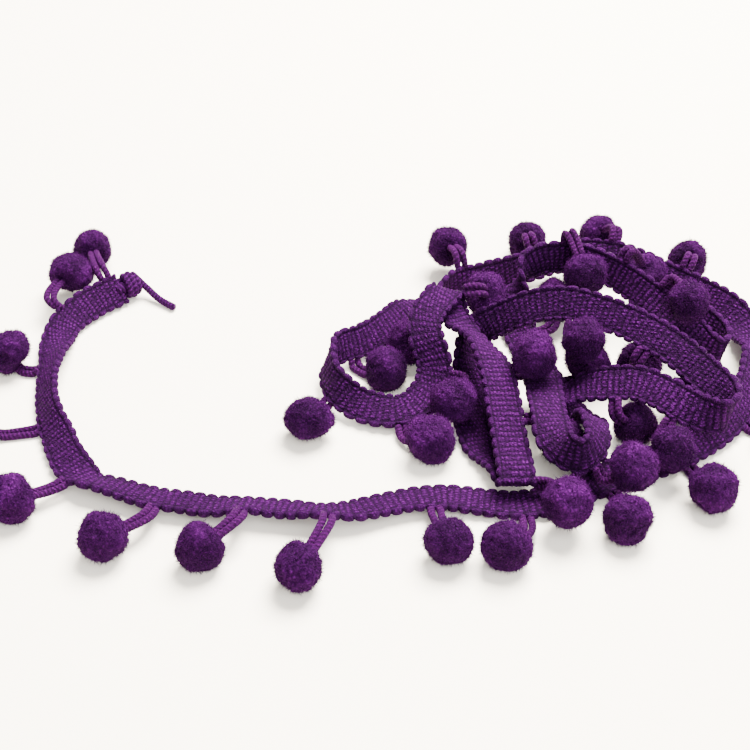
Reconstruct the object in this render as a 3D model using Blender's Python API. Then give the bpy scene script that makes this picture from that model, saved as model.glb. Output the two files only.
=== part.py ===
"""Pompom fringe trim: a knitted tape about a metre long, lying in one loose run and a heap.

The tape is 10 mm wide with scalloped edges. Along one edge, about every 22 mm, a loop of two
cords carries a fluffy 12 mm pompom. The tape's first end is tied off in a small knot.
Units are metres, +Z is up, and the trim lies on the floor at Z = 0, centred on the origin.
"""
import bmesh
import bpy
import math
from collections import namedtuple
from mathutils import Vector

MM = 0.001

# Driving dimensions
TAPE_WIDTH = 10.0 * MM
TAPE_THICKNESS = 1.8 * MM
SCALLOP_PITCH = 3.0 * MM
SCALLOP_DEPTH = 0.45 * MM
RIB_RELIEF = 0.15 * MM
POMPOM_RADIUS = 6.0 * MM
POMPOM_LUMP = 0.35 * MM
CREASE_DEPTH = 0.8 * MM
LOOP_CORD_RADIUS = 0.85 * MM
LOOP_SPREAD = 1.15 * MM
LOOP_SLACK = 4.0 * MM
LOOP_LOWEST = 0.95 * MM
CLEARANCE = 0.75 * MM
KNOT_RADII = Vector((2.1, 4.0, 3.2)) * MM
KNOT_CORD_RADIUS = 1.05 * MM

# A ball's unevenness: how fast its two waves change with direction, and their turn between balls
FIRST_WAVE = Vector((3.1, 2.3, 0.0))
SECOND_WAVE = Vector((0.0, 2.7, -3.3))
WAVE_TURN = 1.7

# Where the crease begins, as the cosine of the angle to the loop, and the bends of a loop's cord
CREASE_START = 0.6
LOOP_SHARES = (0.0, 0.35, 0.68, 1.0)

WELD = 0.0001 * MM
ON_FLOOR = 0.00001 * MM

# The rows below are measured from the middle of the photo's floor; this brings them to the origin
SHIFT = Vector((-6.3, 7.7, 0.0)) * MM

# A bend of the tape: its middle in mm, and the way its pompom edge points, as a heading in the
# floor plane and a rise above it, both in degrees
Bend = namedtuple("Bend", "x y z heading rise")

TAIL = (
    Bend(-73.0, 34.2, 4.4, 134, 46),
    Bend(-76.0, 31.5, 4.4, 132, 46),
    Bend(-80.0, 28.0, 4.2, 134, 42),
    Bend(-83.5, 24.0, 3.8, 142, 34),
    Bend(-86.5, 19.0, 3.3, 156, 22),
)

LEFT_RUN = (
    Bend(-87.5, 13.0, 2.8, 172, 5),
    Bend(-87.0, 3.0, 4.2, 180, -32),
    Bend(-86.5, -7.5, 4.9, 180, -48),
    Bend(-85.5, -14.0, 5.0, 178, -50),
    Bend(-83.5, -21.5, 4.7, 180, -46),
    Bend(-80.0, -29.0, 3.9, 195, -32),
    Bend(-76.5, -36.5, 3.5, 212, -22),
    Bend(-73.0, -41.5, 3.2, 228, -8),
    Bend(-69.5, -45.0, 3.6, 246, 26),
)

FRONT_RUN = (
    Bend(-64.5, -46.5, 3.4, 260, 22),
    Bend(-59.0, -48.5, 3.0, 252, 19),
    Bend(-53.0, -50.5, 2.8, 256, 17),
    Bend(-46.5, -51.5, 2.6, 260, 15),
    Bend(-38.5, -53.0, 2.6, 262, 17),
    Bend(-31.0, -53.5, 3.4, 266, 26),
    Bend(-21.5, -54.5, 3.1, 264, 22),
    Bend(-12.0, -55.8, 3.8, 268, 30),
    Bend(-6.0, -55.2, 3.2, 280, 20),
    Bend(2.5, -52.4, 2.6, 286, 14),
    Bend(9.5, -50.4, 2.4, 284, 12),
    Bend(17.0, -49.5, 2.0, 272, 8),
    Bend(25.5, -50.5, 1.6, 266, 4),
    Bend(34.0, -51.5, 1.4, 270, 2),
    Bend(42.0, -50.0, 1.5, 285, 0),
)

PANEL = (
    Bend(49.0, -46.8, 1.8, 292, -8),
    Bend(56.0, -43.0, 2.2, 292, -14),
    Bend(65.0, -39.2, 2.2, 294, -14),
    Bend(74.0, -35.0, 2.6, 298, -18),
    Bend(82.5, -30.0, 3.8, 306, -34),
    Bend(89.5, -24.5, 4.8, 320, -44),
    Bend(95.0, -17.0, 5.0, 334, -46),
    Bend(99.0, -8.0, 5.6, 342, -46),
    Bend(101.5, 1.0, 5.6, 350, -46),
    Bend(102.5, 8.0, 4.4, 0, -16),
    Bend(101.8, 15.5, 5.2, 16, 30),
)

BACK_RUN = (
    Bend(98.5, 22.5, 6.2, 40, 48),
    Bend(92.5, 29.0, 6.4, 48, 52),
    Bend(85.0, 35.0, 6.8, 52, 52),
    Bend(77.5, 41.5, 7.2, 60, 54),
    Bend(69.5, 46.0, 7.6, 76, 48),
    Bend(61.5, 47.5, 7.4, 90, 46),
    Bend(54.0, 46.5, 6.8, 92, 52),
    Bend(46.5, 44.0, 6.0, 96, 60),
    Bend(38.5, 41.0, 5.5, 98, 66),
    Bend(30.5, 38.0, 5.3, 96, 66),
    Bend(24.0, 35.5, 5.3, 70, 66),
    Bend(18.5, 32.0, 5.2, 340, 68),
    Bend(13.5, 27.5, 4.6, 315, 28),
)

LEFT_LOOP = (
    Bend(8.0, 21.5, 4.8, 312, -28),
    Bend(2.5, 14.5, 5.1, 308, -44),
    Bend(-3.5, 8.5, 5.3, 304, -56),
    Bend(-8.5, 4.5, 6.5, 290, -62),
    Bend(-12.0, -1.0, 7.4, 225, -62),
    Bend(-12.0, -8.0, 6.8, 212, -64),
    Bend(-9.0, -13.5, 5.9, 238, -52),
    Bend(-4.5, -17.0, 4.4, 253, -36),
    Bend(1.5, -19.0, 3.8, 266, -24),
    Bend(7.0, -19.0, 3.8, 282, -18),
    Bend(11.5, -16.5, 4.6, 300, -20),
)

FIRST_RISE = (
    Bend(14.4, -12.4, 6.2, 318, -24),
    Bend(15.6, -9.0, 8.8, 330, -18),
    Bend(15.0, -6.2, 11.8, 345, -10),
    Bend(13.6, -3.8, 14.8, 350, -6),
    Bend(13.0, -0.6, 17.2, 345, -8),
    Bend(14.2, 3.6, 18.8, 340, -12),
    Bend(16.8, 8.0, 19.6, 338, -14),
    Bend(18.8, 11.2, 19.5, 338, -14),
    Bend(19.8, 13.0, 18.2, 338, -14),
    Bend(20.2, 12.0, 16.5, 338, -14),
)

FRONT_STRAP = (
    Bend(20.8, 8.0, 15.2, 345, -16),
    Bend(23.4, 3.6, 13.8, 354, -20),
    Bend(26.4, -1.2, 13.8, 8, -34),
    Bend(28.2, -6.2, 14.6, 12, -32),
    Bend(29.8, -11.6, 15.0, 5, -18),
    Bend(31.3, -18.0, 14.2, 358, -10),
    Bend(32.1, -25.5, 12.4, 356, -10),
    Bend(32.8, -33.0, 10.0, 356, -10),
    Bend(33.5, -40.0, 8.2, 358, -6),
    Bend(34.0, -46.6, 7.4, 0, 0),
)

UNDER_STRAP = (
    Bend(34.0, -48.7, 6.3, 0, 0),
    Bend(33.8, -47.4, 4.9, 0, 0),
    Bend(32.2, -42.0, 4.2, 346, 0),
    Bend(29.8, -36.5, 2.3, 344, 0),
    Bend(26.8, -30.5, 1.4, 346, 0),
    Bend(25.4, -24.0, 1.3, 352, 0),
    Bend(24.8, -15.0, 1.3, 2, 0),
    Bend(25.2, -7.0, 1.6, 0, -4),
    Bend(25.2, -1.5, 3.0, 355, -20),
    Bend(25.2, 3.5, 4.6, 345, -45),
    Bend(26.2, 7.0, 6.8, 318, -60),
)

ARCH = (
    Bend(28.6, 9.2, 9.0, 292, -60),
    Bend(32.2, 8.8, 11.6, 276, -54),
    Bend(37.0, 7.6, 15.2, 270, -48),
    Bend(43.5, 6.4, 18.8, 270, -44),
    Bend(51.0, 4.6, 20.6, 264, -46),
    Bend(59.5, 0.8, 20.4, 246, -46),
    Bend(69.0, -4.4, 19.2, 230, -42),
    Bend(77.0, -12.0, 18.0, 218, -38),
    Bend(83.0, -20.8, 16.8, 212, -42),
    Bend(86.5, -27.4, 16.4, 200, -54),
    Bend(87.2, -32.0, 16.0, 190, -72),
)

SHELF = (
    Bend(84.8, -35.0, 15.6, 220, -76),
    Bend(80.8, -34.2, 15.4, 236, -60),
    Bend(76.5, -31.4, 15.6, 236, -44),
    Bend(71.8, -27.0, 16.0, 238, -38),
    Bend(66.0, -22.8, 15.8, 250, -38),
    Bend(59.5, -20.2, 13.8, 258, -34),
    Bend(53.5, -17.8, 10.6, 264, -12),
    Bend(49.0, -17.2, 7.4, 250, 0),
    Bend(45.8, -14.8, 6.1, 215, 0),
    Bend(44.4, -12.2, 5.7, 190, 0),
    Bend(43.6, -9.6, 6.5, 182, 0),
)

FRONT_LOOP = (
    Bend(43.4, -10.6, 9.0, 182, 0),
    Bend(43.2, -16.0, 10.4, 182, -2),
    Bend(42.9, -22.2, 11.9, 182, 2),
    Bend(42.8, -28.6, 13.2, 182, 4),
    Bend(42.9, -35.0, 13.8, 186, 0),
    Bend(43.4, -40.4, 13.4, 204, -26),
    Bend(45.5, -44.6, 13.0, 236, -62),
    Bend(49.2, -46.6, 12.8, 280, -72),
    Bend(52.6, -43.4, 13.0, 326, -62),
    Bend(53.9, -37.6, 13.2, 346, -40),
    Bend(54.0, -31.6, 11.2, 4, -42),
    Bend(54.0, -27.0, 7.6, 10, -28),
)

UNDERPASS = (
    Bend(53.6, -23.0, 3.6, 14, -8),
    Bend(51.6, -18.6, 1.7, 15, 0),
    Bend(49.6, -13.6, 1.3, 15, 0),
    Bend(47.0, -7.0, 1.3, 14, 0),
    Bend(44.0, 3.0, 1.3, 12, 0),
    Bend(41.5, 12.0, 1.6, 10, 6),
    Bend(40.0, 18.5, 3.6, 10, 22),
    Bend(39.6, 23.5, 6.8, 14, 46),
)

BACK_RING = (
    Bend(40.2, 27.6, 10.8, 24, 64),
    Bend(42.6, 31.0, 14.0, 45, 74),
    Bend(47.4, 32.8, 15.8, 75, 74),
    Bend(53.0, 32.8, 16.2, 88, 74),
    Bend(59.5, 31.0, 16.2, 72, 74),
    Bend(65.5, 27.5, 15.4, 60, 70),
    Bend(71.0, 23.0, 14.0, 52, 62),
    Bend(75.5, 18.8, 12.4, 48, 50),
)

END_RUN = (
    Bend(79.5, 15.2, 10.6, 50, 34),
    Bend(83.0, 11.8, 9.0, 52, 30),
    Bend(86.5, 8.2, 7.6, 50, 44),
    Bend(89.6, 4.2, 6.4, 46, 66),
    Bend(92.4, 2.2, 6.0, 20, 80),
    Bend(94.4, 5.4, 6.0, 350, 76),
    Bend(93.6, 10.4, 6.4, 15, 70),
    Bend(90.4, 15.0, 7.0, 35, 64),
    Bend(86.4, 19.0, 7.4, 45, 60),
)

ROUTE = (
    TAIL + LEFT_RUN + FRONT_RUN + PANEL + BACK_RUN + LEFT_LOOP + FIRST_RISE + FRONT_STRAP
    + UNDER_STRAP + ARCH + SHELF + FRONT_LOOP + UNDERPASS + BACK_RING + END_RUN
)

# A pompom: how far along the tape its loop leaves the edge, and the middle of its ball, in mm
Pompom = namedtuple("Pompom", "station x y z")

POMPOMS = (
    Pompom(3, -84.0, 52.0, 5.7),
    Pompom(18, -87.5, 37.0, 8.0),
    Pompom(39, -98.5, 3.0, 5.7),
    Pompom(63, -102.0, -27.0, 5.7),
    Pompom(86, -86.5, -53.5, 5.7),
    Pompom(108, -62.5, -66.0, 5.7),
    Pompom(129, -40.0, -69.5, 5.7),
    Pompom(149, -17.0, -75.5, 5.7),
    Pompom(175, 17.0, -67.5, 5.7),
    Pompom(197, 30.0, -69.0, 5.7),
    Pompom(219, 59.0, -60.5, 5.7),
    Pompom(241, 81.0, -50.0, 5.7),
    Pompom(263, 103.0, -28.0, 5.7),
    Pompom(284, 112.0, -7.0, 5.7),
    Pompom(303, 114.5, 17.5, 5.7),
    Pompom(325, 92.0, 46.5, 5.7),
    Pompom(347, 67.5, 60.0, 5.7),
    Pompom(370, 45.5, 57.0, 5.7),
    Pompom(393, 21.5, 49.0, 9.0),
    Pompom(415, 9.5, 7.5, 5.7),
    Pompom(437, 3.0, -4.5, 5.7),
    Pompom(459, -17.0, -24.5, 5.7),
    Pompom(477, 14.0, -32.5, 5.7),
    Pompom(492, 20.0, -21.0, 9.0),
    Pompom(522, 30.5, 20.5, 12.0),
    Pompom(569.6, 47.0, -34.0, 5.7),
    Pompom(589, 45.0, -58.0, 8.5),
    Pompom(680.6, 53.5, -9.5, 19.5),
    Pompom(702.6, 70.0, -4.0, 7.0),
    Pompom(724.6, 79.0, -18.0, 6.5),
    Pompom(747.6, 72.5, -40.5, 10.0),
    Pompom(765.6, 66.0, -26.0, 5.2),
    Pompom(793.6, 40.5, -14.5, 18.0),
    Pompom(835.6, 61.5, -48.5, 11.0),
    Pompom(879.6, 56.5, -3.0, 6.5),
    Pompom(901, 50.5, 26.0, 5.7),
    Pompom(934.6, 58.0, 23.0, 17.0),
    Pompom(949.6, 77.0, 32.0, 10.5),
    Pompom(962.6, 84.0, 9.0, 18.0),
)

# The knot's loose cord, from the knot to its free end on the floor, in mm
CORD = ((-66.5, 36.5, 3.4), (-62.5, 33.0, 1.7), (-57.3, 29.1, 1.2))

# A place on the tape: its middle, the unit ways along it and towards its pompom edge, and its face
Place = namedtuple("Place", "middle along edge face")

COLLECTION = "pompom_fringe_trim"
CUTTERS = "pompom_fringe_trim_cutters"
SAMPLES_PER_BEND = 40
UP = Vector((0.0, 0.0, 1.0))


def clear_scene():
    """Empty the scene of its starting objects."""
    for thing in list(bpy.data.objects):
        bpy.data.objects.remove(thing)


def make_collection(name):
    """Return a new collection, linked to the scene."""
    made = bpy.data.collections.new(name)
    bpy.context.scene.collection.children.link(made)
    return made


def make_material(name, colour, roughness):
    """Return a cloth material of one plain colour."""
    made = bpy.data.materials.new(name)
    made.use_nodes = True
    shader = made.node_tree.nodes["Principled BSDF"]
    shader.inputs["Base Color"].default_value = (*colour, 1.0)
    shader.inputs["Roughness"].default_value = roughness
    shader.inputs["Metallic"].default_value = 0.0
    return made


def edge_direction(bend):
    """Return the unit vector towards the pompom edge at a bend."""
    heading = math.radians(bend.heading)
    rise = math.radians(bend.rise)
    flat = math.cos(rise)
    return Vector((math.cos(heading) * flat, math.sin(heading) * flat, math.sin(rise)))


def slopes(points, spans):
    """Return the slope of a smooth curve at each of its points, spans being the distances."""
    inner = []
    for i in range(1, len(points) - 1):
        before = (points[i] - points[i - 1]) / spans[i - 1]
        after = (points[i + 1] - points[i]) / spans[i]
        inner.append((before * spans[i] + after * spans[i - 1]) / (spans[i] + spans[i - 1]))
    first = (points[1] - points[0]) / spans[0]
    last = (points[-1] - points[-2]) / spans[-1]
    return [first] + inner + [last]


def blend(start, end, start_slope, end_slope, span, share):
    """Return the point a share of the way along one smooth span."""
    rest = 1.0 - share
    near = start * ((1.0 + 2.0 * share) * rest * rest) + start_slope * (span * share * rest * rest)
    far = end * (share * share * (3.0 - 2.0 * share)) - end_slope * (span * share * share * rest)
    return near + far


def trace_route(bends):
    """Return the tape's middles and edge directions, finely sampled along the whole route."""
    points = [Vector((b.x, b.y, b.z)) * MM + SHIFT for b in bends]
    edges = [edge_direction(b) for b in bends]
    spans = [(b - a).length for a, b in zip(points, points[1:])]
    point_slopes = slopes(points, spans)
    edge_slopes = slopes(edges, spans)
    middles = []
    directions = []
    for i, span in enumerate(spans):
        for k in range(SAMPLES_PER_BEND):
            share = k / SAMPLES_PER_BEND
            middles.append(blend(*points[i : i + 2], *point_slopes[i : i + 2], span, share))
            directions.append(blend(*edges[i : i + 2], *edge_slopes[i : i + 2], span, share))
    return middles + [points[-1]], directions + [edges[-1]]


class Route:
    """The tape's middle line, read by the distance along it."""

    def __init__(self, bends):
        self.middles, self.edges = trace_route(bends)
        self.distances = [0.0]
        for a, b in zip(self.middles, self.middles[1:]):
            self.distances.append(self.distances[-1] + (b - a).length)
        self.length = self.distances[-1]

    def place(self, distance):
        """Return the tape's place at a distance from its knotted end."""
        low, high = 0, len(self.distances) - 2
        while low < high:
            half = (low + high + 1) // 2
            if self.distances[half] <= distance:
                low = half
            else:
                high = half - 1
        span = self.distances[low + 1] - self.distances[low]
        share = (distance - self.distances[low]) / span
        middle = self.middles[low].lerp(self.middles[low + 1], share)
        along = (self.middles[low + 1] - self.middles[low]).normalized()
        edge = self.edges[low].lerp(self.edges[low + 1], share)
        edge = (edge - along * edge.dot(along)).normalized()
        return Place(middle, along, edge, along.cross(edge))


def make_object(name, mesh, material, collection):
    """Return a new object that shows a mesh in one material."""
    made = bpy.data.objects.new(name, mesh)
    mesh.materials.append(material)
    collection.objects.link(made)
    return made


def tape_section(place, at_crest):
    """Return a cross-section's four corners, wide and thick at a scallop's crest."""
    reach = TAPE_WIDTH / 2.0 - (0.0 if at_crest else SCALLOP_DEPTH)
    half = TAPE_THICKNESS / 2.0 - (0.0 if at_crest else RIB_RELIEF)
    corners = ((1.0, 1.0), (-1.0, 1.0), (-1.0, -1.0), (1.0, -1.0))
    return [place.middle + place.edge * (reach * w) + place.face * (half * t) for w, t in corners]


def make_tape(route, material, collection):
    """Build the tape as one solid, with a cross-section at each scallop's crest and dip."""
    count = int(route.length / (SCALLOP_PITCH / 2.0))
    step = route.length / count
    work = bmesh.new()
    rings = []
    for i in range(count + 1):
        corners = tape_section(route.place(i * step), i % 2 == 0)
        rings.append([work.verts.new(corner) for corner in corners])
    for ring, following in zip(rings, rings[1:]):
        for k in range(4):
            after = (k + 1) % 4
            work.faces.new((ring[k], ring[after], following[after], following[k]))
    work.faces.new(list(reversed(rings[0])))
    work.faces.new(rings[-1])
    bmesh.ops.recalc_face_normals(work, faces=work.faces)
    mesh = bpy.data.meshes.new("tape")
    work.to_mesh(mesh)
    work.free()
    return make_object("tape", mesh, material, collection)


def lump(direction, number):
    """Return how far a ball's uneven pile stands proud in one direction."""
    turn = number * WAVE_TURN
    first = math.sin(FIRST_WAVE.dot(direction) + turn)
    second = math.sin(SECOND_WAVE.dot(direction) + 2.0 * turn)
    return POMPOM_LUMP * 0.5 * (first + second)


def crease(direction, towards_root):
    """Return how deep the loop draws the pile in, next to where it enters the ball."""
    facing = direction.dot(towards_root)
    return CREASE_DEPTH * max(0.0, facing - CREASE_START) / (1.0 - CREASE_START)


def make_ball(centre, towards_root, number):
    """Return a lumpy ball's mesh, flattened where it rests on the floor."""
    work = bmesh.new()
    bmesh.ops.create_icosphere(work, subdivisions=2, radius=1.0)
    for vert in work.verts:
        direction = vert.co.normalized()
        reach = POMPOM_RADIUS + lump(direction, number) - crease(direction, towards_root)
        vert.co = centre + direction * reach
    if centre.z < POMPOM_RADIUS:
        everything = work.verts[:] + work.edges[:] + work.faces[:]
        floor = {"plane_co": (0.0, 0.0, 0.0), "plane_no": -UP, "dist": ON_FLOOR}
        bmesh.ops.bisect_plane(work, geom=everything, clear_outer=True, **floor)
        bmesh.ops.holes_fill(work, edges=[e for e in work.edges if e.is_boundary])
    bmesh.ops.recalc_face_normals(work, faces=work.faces)
    mesh = bpy.data.meshes.new("ball")
    work.to_mesh(mesh)
    work.free()
    return mesh


def make_cord(name, lines, radius, sides, material, cutters):
    """Return a cutter object of round-ended cords, one along each line of points."""
    data = bpy.data.curves.new(name, "CURVE")
    data.dimensions = "3D"
    data.bevel_depth = radius
    data.bevel_resolution = sides
    data.use_fill_caps = True
    for points in lines:
        spline = data.splines.new("POLY")
        spline.points.add(len(points) - 1)
        for point, co in zip(spline.points, points):
            point.co = (*co, 1.0)
    curve = bpy.data.objects.new(name, data)
    cutters.objects.link(curve)
    bpy.context.view_layer.update()
    depsgraph = bpy.context.evaluated_depsgraph_get()
    mesh = bpy.data.meshes.new_from_object(curve.evaluated_get(depsgraph))
    bpy.data.objects.remove(curve)
    work = bmesh.new()
    work.from_mesh(mesh)
    bmesh.ops.remove_doubles(work, verts=work.verts, dist=WELD)
    bmesh.ops.recalc_face_normals(work, faces=work.faces)
    work.to_mesh(mesh)
    work.free()
    made = make_object(name, mesh, material, cutters)
    made.hide_render = True
    made.display_type = "WIRE"
    return made


def loop_lines(root, place, centre):
    """Return the two bowed lines of a loop, from the tape's edge into the ball."""
    leave = root + place.edge * LOOP_SLACK
    way = (centre - root).normalized()
    spread = (place.along - way * place.along.dot(way)).normalized() * LOOP_SPREAD
    lines = []
    for side in (-1.0, 1.0):
        points = []
        for share in LOOP_SHARES:
            rest = 1.0 - share
            bow = root * (rest * rest) + leave * (2.0 * rest * share) + centre * (share * share)
            point = bow + spread * side
            point.z = max(point.z, LOOP_LOWEST)
            points.append(point)
        lines.append(points)
    return lines


def join(solid, addition):
    """Join a cutter object to a solid."""
    union = solid.modifiers.new("join_cord", "BOOLEAN")
    union.operation = "UNION"
    union.solver = "EXACT"
    union.object = addition


def make_pompom(number, row, route, material, collection, cutters):
    """Build one ball on its two-cord loop, its root just clear of the tape's edge."""
    place = route.place(row.station * MM)
    centre = Vector((row.x, row.y, row.z)) * MM + SHIFT
    root = place.middle + place.edge * (TAPE_WIDTH / 2.0 + CLEARANCE + LOOP_CORD_RADIUS)
    mesh = make_ball(centre, (root - centre).normalized(), number)
    ball = make_object(f"pompom_{number:02d}", mesh, material, collection)
    lines = loop_lines(root, place, centre)
    join(ball, make_cord(f"loop_{number:02d}", lines, LOOP_CORD_RADIUS, 0, material, cutters))


def make_knot(route, material, collection, cutters):
    """Build the small knot that ties off the tape's first end, with its loose cord."""
    start = route.place(0.0)
    centre = start.middle - start.along * (KNOT_RADII.x + CLEARANCE)
    work = bmesh.new()
    bmesh.ops.create_icosphere(work, subdivisions=2, radius=1.0)
    for vert in work.verts:
        reach = Vector(a * b for a, b in zip(vert.co, KNOT_RADII))
        vert.co = centre + start.along * reach.x + start.edge * reach.y + start.face * reach.z
    bmesh.ops.recalc_face_normals(work, faces=work.faces)
    mesh = bpy.data.meshes.new("end_knot")
    work.to_mesh(mesh)
    work.free()
    knot = make_object("end_knot", mesh, material, collection)
    line = [centre] + [Vector(co) * MM + SHIFT for co in CORD]
    join(knot, make_cord("knot_cord", [line], KNOT_CORD_RADIUS, 1, material, cutters))


def main():
    """Build the tape, its pompoms and its knot."""
    clear_scene()
    collection = make_collection(COLLECTION)
    cutters = make_collection(CUTTERS)
    knit = make_material("knitted_tape", (0.14, 0.02, 0.21), 0.85)
    pile = make_material("pompom_pile", (0.09, 0.01, 0.14), 0.95)
    route = Route(ROUTE)
    make_tape(route, knit, collection)
    for number, row in enumerate(POMPOMS, start=1):
        make_pompom(number, row, route, pile, collection, cutters)
    make_knot(route, knit, collection, cutters)


main()
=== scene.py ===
import bmesh
import bpy
import logging
import math
import random
from dataclasses import dataclass, field
from enum import Enum
from typing import NamedTuple

import numpy as np
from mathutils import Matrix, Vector


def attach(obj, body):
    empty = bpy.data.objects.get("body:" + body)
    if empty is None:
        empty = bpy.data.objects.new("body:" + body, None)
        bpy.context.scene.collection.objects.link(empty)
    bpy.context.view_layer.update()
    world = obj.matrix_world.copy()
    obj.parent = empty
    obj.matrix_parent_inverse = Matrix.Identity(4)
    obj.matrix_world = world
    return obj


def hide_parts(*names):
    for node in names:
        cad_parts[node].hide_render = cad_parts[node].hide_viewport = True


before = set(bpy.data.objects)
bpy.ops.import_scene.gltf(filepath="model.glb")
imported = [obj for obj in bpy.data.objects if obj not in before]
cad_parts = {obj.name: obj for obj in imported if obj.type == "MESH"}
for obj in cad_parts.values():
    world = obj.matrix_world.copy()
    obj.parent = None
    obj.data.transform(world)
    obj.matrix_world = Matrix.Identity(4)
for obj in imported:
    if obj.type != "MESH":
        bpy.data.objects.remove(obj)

log = logging.getLogger("pompom_fringe")

MM = 0.001
UP = Vector((0.0, 0.0, 1.0))
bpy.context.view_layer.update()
BODY = "root"

# The rows below are measured from the middle of the photo's floor; this brings them to the origin
SHIFT = Vector((-6.3, 7.7, 0.0)) * MM


class Bend(NamedTuple):
    """A bend of the tape: its middle in mm, and its pompom edge's heading and rise in degrees."""

    x: float
    y: float
    z: float
    heading: float
    rise: float


TAIL = (
    Bend(-73.0, 34.2, 4.4, 134, 46),
    Bend(-76.0, 31.5, 4.4, 132, 46),
    Bend(-80.0, 28.0, 4.2, 134, 42),
    Bend(-83.5, 24.0, 3.8, 142, 34),
    Bend(-86.5, 19.0, 3.3, 156, 22),
)

LEFT_RUN = (
    Bend(-87.5, 13.0, 2.8, 172, 5),
    Bend(-87.0, 3.0, 4.2, 180, -32),
    Bend(-86.5, -7.5, 4.9, 180, -48),
    Bend(-85.5, -14.0, 5.0, 178, -50),
    Bend(-83.5, -21.5, 4.7, 180, -46),
    Bend(-80.0, -29.0, 3.9, 195, -32),
    Bend(-76.5, -36.5, 3.5, 212, -22),
    Bend(-73.0, -41.5, 3.2, 228, -8),
    Bend(-69.5, -45.0, 3.6, 246, 26),
)

FRONT_RUN = (
    Bend(-64.5, -46.5, 3.4, 260, 22),
    Bend(-59.0, -48.5, 3.0, 252, 19),
    Bend(-53.0, -50.5, 2.8, 256, 17),
    Bend(-46.5, -51.5, 2.6, 260, 15),
    Bend(-38.5, -53.0, 2.6, 262, 17),
    Bend(-31.0, -53.5, 3.4, 266, 26),
    Bend(-21.5, -54.5, 3.1, 264, 22),
    Bend(-12.0, -55.8, 3.8, 268, 30),
    Bend(-6.0, -55.2, 3.2, 280, 20),
    Bend(2.5, -52.4, 2.6, 286, 14),
    Bend(9.5, -50.4, 2.4, 284, 12),
    Bend(17.0, -49.5, 2.0, 272, 8),
    Bend(25.5, -50.5, 1.6, 266, 4),
    Bend(34.0, -51.5, 1.4, 270, 2),
    Bend(42.0, -50.0, 1.5, 285, 0),
)

PANEL = (
    Bend(49.0, -46.8, 1.8, 292, -8),
    Bend(56.0, -43.0, 2.2, 292, -14),
    Bend(65.0, -39.2, 2.2, 294, -14),
    Bend(74.0, -35.0, 2.6, 298, -18),
    Bend(82.5, -30.0, 3.8, 306, -34),
    Bend(89.5, -24.5, 4.8, 320, -44),
    Bend(95.0, -17.0, 5.0, 334, -46),
    Bend(99.0, -8.0, 5.6, 342, -46),
    Bend(101.5, 1.0, 5.6, 350, -46),
    Bend(102.5, 8.0, 4.4, 0, -16),
    Bend(101.8, 15.5, 5.2, 16, 30),
)

BACK_RUN = (
    Bend(98.5, 22.5, 6.2, 40, 48),
    Bend(92.5, 29.0, 6.4, 48, 52),
    Bend(85.0, 35.0, 6.8, 52, 52),
    Bend(77.5, 41.5, 7.2, 60, 54),
    Bend(69.5, 46.0, 7.6, 76, 48),
    Bend(61.5, 47.5, 7.4, 90, 46),
    Bend(54.0, 46.5, 6.8, 92, 52),
    Bend(46.5, 44.0, 6.0, 96, 60),
    Bend(38.5, 41.0, 5.5, 98, 66),
    Bend(30.5, 38.0, 5.3, 96, 66),
    Bend(24.0, 35.5, 5.3, 70, 66),
    Bend(18.5, 32.0, 5.2, 340, 68),
    Bend(13.5, 27.5, 4.6, 315, 28),
)

LEFT_LOOP = (
    Bend(8.0, 21.5, 4.8, 312, -28),
    Bend(2.5, 14.5, 5.1, 308, -44),
    Bend(-3.5, 8.5, 5.3, 304, -56),
    Bend(-8.5, 4.5, 6.5, 290, -62),
    Bend(-12.0, -1.0, 7.4, 225, -62),
    Bend(-12.0, -8.0, 6.8, 212, -64),
    Bend(-9.0, -13.5, 5.9, 238, -52),
    Bend(-4.5, -17.0, 4.4, 253, -36),
    Bend(1.5, -19.0, 3.8, 266, -24),
    Bend(7.0, -19.0, 3.8, 282, -18),
    Bend(11.5, -16.5, 4.6, 300, -20),
)

FIRST_RISE = (
    Bend(14.4, -12.4, 6.2, 318, -24),
    Bend(15.6, -9.0, 8.8, 330, -18),
    Bend(15.0, -6.2, 11.8, 345, -10),
    Bend(13.6, -3.8, 14.8, 350, -6),
    Bend(13.0, -0.6, 17.2, 345, -8),
    Bend(14.2, 3.6, 18.8, 340, -12),
    Bend(16.8, 8.0, 19.6, 338, -14),
    Bend(18.8, 11.2, 19.5, 338, -14),
    Bend(19.8, 13.0, 18.2, 338, -14),
    Bend(20.2, 12.0, 16.5, 338, -14),
)

FRONT_STRAP = (
    Bend(20.8, 8.0, 15.2, 345, -16),
    Bend(23.4, 3.6, 13.8, 354, -20),
    Bend(26.4, -1.2, 13.8, 8, -34),
    Bend(28.2, -6.2, 14.6, 12, -32),
    Bend(29.8, -11.6, 15.0, 5, -18),
    Bend(31.3, -18.0, 14.2, 358, -10),
    Bend(32.1, -25.5, 12.4, 356, -10),
    Bend(32.8, -33.0, 10.0, 356, -10),
    Bend(33.5, -40.0, 8.2, 358, -6),
    Bend(34.0, -46.6, 7.4, 0, 0),
)

UNDER_STRAP = (
    Bend(34.0, -48.7, 6.3, 0, 0),
    Bend(33.8, -47.4, 4.9, 0, 0),
    Bend(32.2, -42.0, 4.2, 346, 0),
    Bend(29.8, -36.5, 2.3, 344, 0),
    Bend(26.8, -30.5, 1.4, 346, 0),
    Bend(25.4, -24.0, 1.3, 352, 0),
    Bend(24.8, -15.0, 1.3, 2, 0),
    Bend(25.2, -7.0, 1.6, 0, -4),
    Bend(25.2, -1.5, 3.0, 355, -20),
    Bend(25.2, 3.5, 4.6, 345, -45),
    Bend(26.2, 7.0, 6.8, 318, -60),
)

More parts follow.
